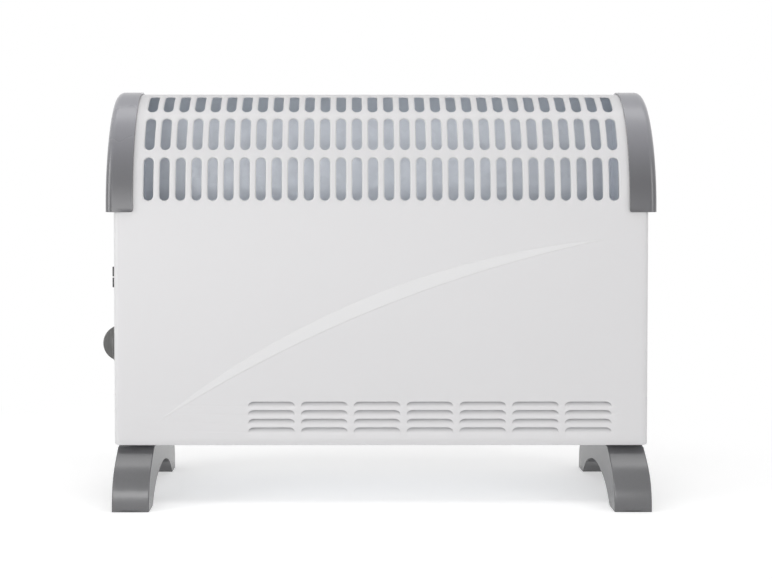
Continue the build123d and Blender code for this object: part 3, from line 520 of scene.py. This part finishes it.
# moulded grain: a fine satin texture and slow tone changes, with a painted sheen: a paler top,
# painted in place of the overhead light's reflection
grain, given, outlet = effect("Moulded grain and painted sheen", (0.1, 0.1, 0.1, 1), Grain=1500.0, Gloss=0.4,
                              Fade=0.0)
# heights between which tops are lightened, and the paler grey they go to: a painted sheen standing
# in for the overhead light's reflection
painted_sheen_foot, painted_sheen_head, painted_sheen_grey = 0.300, 0.390, (0.42, 0.42, 0.46, 1)
fine = noise(grain, given.outputs["Coords"], given.outputs["Grain"], 3.0)
slow = noise(grain, given.outputs["Coords"], 14.0, 3.0)
mottle = span(grain, slow, 0.3, 0.7, 0.94, 1.06)
speckle = span(grain, fine, 0.3, 0.7, 0.93, 1.07)
tinted = tint(grain, given.outputs["Color"], calculate(grain, "MULTIPLY", mottle, speckle))
height = node(grain, "ShaderNodeSeparateXYZ", {0: given.outputs["Coords"]}).outputs[2]
# the painted sheen mask: zero low down, rising to full towards the top, scaled by the amount given
pale = span(grain, height, painted_sheen_foot, painted_sheen_head, curve="SMOOTHSTEP")
pale = calculate(grain, "MULTIPLY", pale, given.outputs["Fade"])
rough = calculate(grain, "MULTIPLY_ADD", slow, 0.1, given.outputs["Gloss"])
deliver(grain, outlet, blend(grain, "MIX", pale, tinted, painted_sheen_grey), rough, fine)


def moulded_finish(name, color, gloss, texture=0.25, scale=1500.0, painted_sheen=0.0, rounding=0.0005,
                   **constants):
    """Moulded plastic: grain, tone changes, edges that catch the light, and a top lightened by a
    painted sheen.
    """
    amounts = {"Color": color, "Gloss": gloss, "Grain": scale, "Fade": painted_sheen}
    return finish(name, grain, amounts, strength=texture, distance=0.0001, rounding=rounding,
                  Roughness=gloss, **constants)


# the caps' tops carry the painted sheen: a paler grey painted in by height, in place of the overhead
# reflection
cap_grey = moulded_finish("satin_grey_cap", (0.080, 0.080, 0.088, 1), 0.24, painted_sheen=0.62,
                          rounding=0.0006, Specular_IOR_Level=0.9, Sheen_Weight=0.5,
                          Sheen_Roughness=0.4)
for side in ("left", "right"):
    cap = smooth_copy(side + "_end_cap", side + "_cap_moulding", 30)
    cap.data.materials.append(cap_grey)

# Feet. One-piece grey mouldings, hollow underneath, each with two toes and an arch, screwed
# up into the base plate.
foot_grey = moulded_finish("satin_grey_foot", (0.112, 0.112, 0.118, 1), 0.18, texture=0.12,
                           rounding=0.0008, Specular_IOR_Level=0.9)
for side in ("left", "right"):
    foot = smooth_copy(side + "_foot", side + "_foot_moulding", 32)
    foot.data.materials.append(foot_grey)

# Control panel. A raised white moulding on the left end, screwed to the end seam. It holds
# the switch and the thermostat.
panel_plastic = moulded_finish("satin_white_moulding", (0.74, 0.74, 0.73, 1), 0.32, texture=0.12)
control = smooth_copy("control_panel", "control_moulding", 32)
control.data.materials.append(panel_plastic)

# Rocker switch. Two black rockers on one pin in a black housing, each tipping on its own
# joint.
black = moulded_finish("black_switch_moulding", (0.018, 0.018, 0.019, 1), 0.38)
rocker_black = moulded_finish("satin_black_rocker", (0.032, 0.029, 0.032, 1), 0.24, texture=0.1)
housing = smooth_copy("switch_housing", "switch_case", 30)
housing.data.materials.append(black)
for side in ("upper", "lower"):
    rocker = smooth_copy(side + "_rocker", side + "_rocker_key", 30, side + "_rocker")
    rocker.data.materials.append(rocker_black)

# Thermostat knob. A round skirt with a half-moon grip, pushed on to the flatted spindle,
# with which it turns.
knob_grey = moulded_finish("satin_grey_knob", (0.105, 0.105, 0.102, 1), 0.28)
knob = smooth_copy("thermostat_knob", "thermostat_grip", 30, "thermostat")
knob.data.materials.append(knob_grey)

# Metal, ceramic and wiring inside. Galvanised sheet parts, the finned element with its
# sheathed rods, ceramic insulators, brass terminals, leads and zinc-plated screws.
sheet, given, outlet = effect("Rolled metal", (0.6, 0.6, 0.6, 1), Spangle=160.0, Contrast=0.12,
                              Gloss=0.35)
flake = node(sheet, "ShaderNodeTexVoronoi", {"Vector": given.outputs["Coords"],
                                             "Scale": given.outputs["Spangle"]})
flake = node(sheet, "ShaderNodeSeparateColor", {0: flake.outputs["Color"]})
slow = noise(sheet, given.outputs["Coords"], 20.0, 4.0)
mixed = calculate(sheet, "ADD", flake.outputs[0], slow)
mixed = calculate(sheet, "ADD", mixed, -1.0)
mixed = calculate(sheet, "MULTIPLY_ADD", mixed, given.outputs["Contrast"], 1.0)
rough = calculate(sheet, "MULTIPLY_ADD", flake.outputs[1], 0.12, given.outputs["Gloss"])
deliver(sheet, outlet, tint(sheet, given.outputs["Color"], mixed), rough, slow)


def metal_finish(name, color, gloss, metallic=1.0, spangle=160.0, contrast=0.12):
    """Rolled, plated or drawn metal with its own flake and streak."""
    amounts = {"Color": color, "Gloss": gloss, "Spangle": spangle, "Contrast": contrast}
    return finish(name, sheet, amounts, strength=0.1, distance=0.0002, Roughness=gloss,
                  Metallic=metallic)


zinc_sheet = metal_finish("galvanised_sheet", (0.84, 0.87, 0.92, 1), 0.42, 0.32, contrast=0.05)
zinc_plate = metal_finish("zinc_plated_screw", (0.62, 0.62, 0.60, 1), 0.28, spangle=900.0)
drawn_steel = metal_finish("drawn_steel", (0.48, 0.48, 0.49, 1), 0.30, spangle=700.0)
aluminium = metal_finish("mill_aluminium", (0.75, 0.75, 0.76, 1), 0.38, spangle=260.0, contrast=0.08)
brass = metal_finish("terminal_brass", (0.72, 0.55, 0.25, 1), 0.30, spangle=500.0)
ceramic = moulded_finish("unglazed_ceramic", (0.72, 0.69, 0.62, 1), 0.62, texture=0.4, scale=700.0)
sleeve = moulded_finish("glass_fibre_sleeve", (0.36, 0.05, 0.03, 1), 0.6, texture=0.5, scale=900.0)

# these are shown as packed, with a material of their own
as_packed = [
    (zinc_sheet, ("base_plate", "side_seam_strips", "top_seam_strip", "left_end_baffle",
                  "right_end_baffle", "inner_reflector")),
    (brass, ("switch_terminals", "thermostat_blade", "thermostat_terminals", "rod_link")),
    (ceramic, ("terminal_block", "thermostat_body")),
]
for material, names in as_packed:
    for name in names:
        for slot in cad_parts[name].material_slots:
            slot.material = material

# these are shown by smooth copies: material, slot and pieces
turned = [
    (zinc_plate, "zinc_screw", ("cap_screws", "foot_screws", "lip_screws", "control_panel_screws",
                                "thermostat_screws", "cutout_screws", "terminal_block_screws")),
    (drawn_steel, "sheath_steel", ("rocker_pin", "upper_heating_rod", "lower_heating_rod")),
    (aluminium, "fin_aluminium", ("element_fins",)),
    (ceramic, "ceramic", ("element_bushes", "thermal_cutout")),
    (sleeve, "wire_insulation", ("internal_wires",)),
    (black, "black_plastic", ("cable_gland", "gland_nut")),
]
for material, slot, names in turned:
    for name in names:
        piece = smooth_copy(name, name + "_turned", 30)
        piece.data.materials.append(material)
spindle = smooth_copy("thermostat_spindle", "thermostat_spindle_turned", 30, "thermostat")
spindle.data.materials.append(drawn_steel)

# Floor and background. A plain pale floor that runs into white beyond the heater, and a
# world that lights softly but is seen, mirrored or looked through as pure white.
floor_near, floor_far = 0.30, 0.62


def seen_directly(tree):
    """One for rays that look at the background straight, mirrored or through glass."""
    rays = node(tree, "ShaderNodeLightPath")
    seen = rays.outputs["Is Camera Ray"]
    for kind in ("Is Glossy Ray", "Is Transmission Ray"):
        seen = calculate(tree, "MAXIMUM", seen, rays.outputs[kind])
    return seen


bpy.ops.mesh.primitive_plane_add(size=24, location=(0, 0, 0))
floor = bpy.context.object
floor.name = "studio_floor"
floor_pale = bpy.data.materials.new("pale_floor")
floor_pale.use_nodes = True
tree = floor_pale.node_tree
tree.nodes.clear()
lit = node(tree, "ShaderNodeBsdfDiffuse", {"Color": (0.88, 0.88, 0.88, 1)})
glow = node(tree, "ShaderNodeEmission", {"Color": (1, 1, 1, 1), "Strength": 0.42})
shadowed = node(tree, "ShaderNodeAddShader", {0: lit.outputs[0], 1: glow.outputs[0]})
pure = node(tree, "ShaderNodeEmission", {"Color": (1, 1, 1, 1), "Strength": 1.0})
ground = node(tree, "ShaderNodeTexCoord").outputs["Object"]
spot = node(tree, "ShaderNodeVectorMath", {0: ground, 1: (0.0, 0.0, 0.0)}, operation="DISTANCE")
away = span(tree, spot.outputs[1], floor_near, floor_far, curve="SMOOTHSTEP")
seen = node(tree, "ShaderNodeMixShader", {0: away, 1: shadowed.outputs[0], 2: pure.outputs[0]})
both_ways = node(tree, "ShaderNodeMixShader",
                 {0: seen_directly(tree), 1: lit.outputs[0], 2: seen.outputs[0]})
node(tree, "ShaderNodeOutputMaterial", {"Surface": both_ways.outputs[0]})
floor.data.materials.append(floor_pale)

world = bpy.data.worlds.new("studio")
bpy.context.scene.world = world
world.use_nodes = True
tree = world.node_tree
tree.nodes.clear()
soft = node(tree, "ShaderNodeBackground", {"Color": (1, 1, 1, 1), "Strength": 0.46})
clean = node(tree, "ShaderNodeBackground", {"Color": (1, 1, 1, 1), "Strength": 1.0})
choice = node(tree, "ShaderNodeMixShader",
              {0: seen_directly(tree), 1: soft.outputs[0], 2: clean.outputs[0]})
node(tree, "ShaderNodeOutputWorld", {"Surface": choice.outputs[0]})

# Lamps. Soft studio boxes overhead, in front, at both sides and behind, and a narrow strip
# that gives the caps and the hood their gleam.


def softbox(name, place, aim, width, height, power):
    """A rectangular soft light turned towards a point."""
    lamp = bpy.data.lights.new(name, "AREA")
    lamp.shape = "RECTANGLE"
    lamp.size, lamp.size_y, lamp.energy = width, height, power
    holder = bpy.data.objects.new(name, lamp)
    bpy.context.scene.collection.objects.link(holder)
    holder.location = place
    reach = [b - a for a, b in zip(place, aim)]
    flat = math.hypot(reach[0], reach[1])
    holder.rotation_euler = (math.atan2(flat, -reach[2]), 0, math.atan2(-reach[0], reach[1]))


softbox("overhead_softbox", (0.0, -0.25, 1.20), (0, 0, 0.3), 1.8, 0.30, 3.2)
softbox("front_softbox", (-0.2, -1.9, 0.20), (0, 0, 0.2), 1.6, 0.38, 6.6)
softbox("right_softbox", (1.3, -0.9, 0.4), (0, 0, 0.2), 0.3, 0.8, 3.0)
softbox("left_softbox", (-1.4, -0.6, 0.4), (0, 0, 0.2), 0.4, 0.8, 5.0)
softbox("rear_softbox", (0.5, 1.9, 0.6), (0, 0, 0.2), 1.6, 0.6, 4.0)
softbox("gleam_strip", (-0.80, -1.45, 0.35), (-0.2, 0, 0.25), 0.08, 0.9, 1.4)
